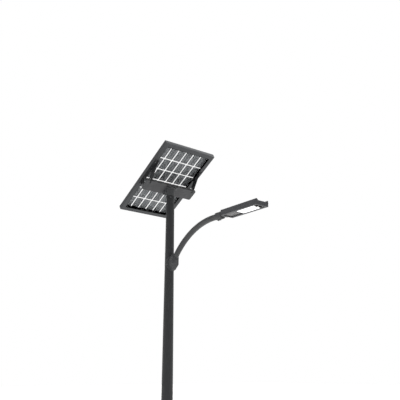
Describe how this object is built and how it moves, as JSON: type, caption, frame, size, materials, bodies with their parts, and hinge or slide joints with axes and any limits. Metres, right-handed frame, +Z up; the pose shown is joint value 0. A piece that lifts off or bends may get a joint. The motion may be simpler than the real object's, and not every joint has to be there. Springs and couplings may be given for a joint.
{
  "type": "solar street lamp",
  "caption": "Solar street lamp: tapered pole, tilting solar panel on a battery housing, bent arm and slim light head.",
  "frame": {"origin": "on the pole's axis, on the underside of the base flange", "axes": "+Z up the pole, +X along the lamp arm towards the light head, +Y across the solar module"},
  "size_m": [1.6208, 0.54, 3.5171],
  "materials": {
    "pole_powder_coat": "fine-texture charcoal powder coat",
    "cast_powder_coat": "charcoal powder coat on cast aluminium",
    "housing_powder_coat": "dark grey powder coat on folded sheet",
    "head_powder_coat": "charcoal powder coat on die-cast aluminium",
    "cover_grey_paint": "light grey satin paint",
    "bracket_powder_coat": "charcoal powder coat on steel plate",
    "frame_anodised": "dark anodised extrusion",
    "mill_aluminium": "mill finish",
    "ring_steel": "turned steel",
    "stainless_fastener": "satin, darkened by weather",
    "brass_stud": "dull",
    "rear_pane_glass": "clear",
    "front_pane_glass": "clear, low iron",
    "silicon_cell": "dark blue-black silicon, grey aluminium paste on the back",
    "tinned_ribbon": "tinned copper",
    "black_border_film": "matte film inside the laminate",
    "black_plastic": "fine texture",
    "gasket_rubber": "matte",
    "cell_wrap": "shrink wrap",
    "controller_aluminium": "ribbed extrusion",
    "opal_diffuser": "opal, lit from behind",
    "board_white": "white solder mask",
    "led_phosphor": "phosphor dome",
    "smoked_plastic": "black infrared window",
    "driver_case": "potted case"
  },
  "bodies": {
    "pole": {"base_flange": "pole_powder_coat", "base_gussets": "pole_powder_coat", "pole_shaft": "pole_powder_coat", "earth_stud": "brass_stud", "spigot_rings": "ring_steel", "azimuth_screws": "stainless_fastener", "arm_tube": "pole_powder_coat", "arm_saddle": "pole_powder_coat", "saddle_screws": "stainless_fastener", "arm_bolts": "stainless_fastener", "head_clamp": "cast_powder_coat", "head_clamp_screws": "stainless_fastener", "head_pivot_bolt": "stainless_fastener"},
    "carrier": {"swivel_saddle": "cast_powder_coat", "saddle_bolts": "stainless_fastener", "battery_tray": "housing_powder_coat", "housing_gasket": "gasket_rubber", "battery_lid": "housing_powder_coat", "lid_screws": "stainless_fastener", "cable_glands": "black_plastic", "end_cap_left": "cast_powder_coat", "end_cap_right": "cast_powder_coat", "end_cap_screws": "stainless_fastener", "tilt_lock_bolts": "stainless_fastener", "tilt_pivot_bolts": "stainless_fastener", "battery_cells": "cell_wrap", "cell_holders": "black_plastic", "charge_controller": "controller_aluminium"},
    "panel": {"side_rail_left": "frame_anodised", "side_rail_right": "frame_anodised", "lower_rail": "frame_anodised", "upper_rail": "frame_anodised", "corner_keys": "mill_aluminium", "rear_glass": "rear_pane_glass", "front_glass": "front_pane_glass", "solar_cells": "silicon_cell", "cell_ribbons": "tinned_ribbon", "black_border": "black_border_film", "junction_box": "black_plastic", "junction_box_lid": "black_plastic", "tilt_arm_left": "bracket_powder_coat", "tilt_arm_right": "bracket_powder_coat", "hinge_leaves": "bracket_powder_coat", "module_screws": "stainless_fastener"},
    "lamp_head": {"head_fork": "cast_powder_coat", "fork_screws": "stainless_fastener", "head_housing": "head_powder_coat", "head_end_cap": "head_powder_coat", "end_screws": "stainless_fastener", "lens_gasket": "gasket_rubber", "lens_plate": "opal_diffuser", "led_board": "board_white", "led_chips": "led_phosphor", "sensor_window": "smoked_plastic", "led_driver": "driver_case", "cover_hinge_pins": "stainless_fastener"},
    "gear_cover": {"gear_cover": "cover_grey_paint", "cover_screw": "stainless_fastener"}
  },
  "joints": [
    {"name": "azimuth_swivel", "type": "hinge", "parent": "pole", "child": "carrier", "pos_m": [0, 0, 3.13], "axis": [0, 0, 1], "range_deg": [-180, 180]},
    {"name": "panel_tilt", "type": "hinge", "parent": "carrier", "child": "panel", "pos_m": [-0.07237, 0, 3.21003], "axis": [0, 1, 0], "range_deg": [0, 15]},
    {"name": "head_tilt", "type": "hinge", "parent": "pole", "child": "lamp_head", "pos_m": [0.748, 0, 2.792], "axis": [0, 1, 0], "range_deg": [-15, 15]},
    {"name": "gear_cover_hinge", "type": "hinge", "parent": "lamp_head", "child": "gear_cover", "pos_m": [0.786, 0, 2.7785], "axis": [0, 1, 0], "range_deg": [0, 85]}
  ]
}
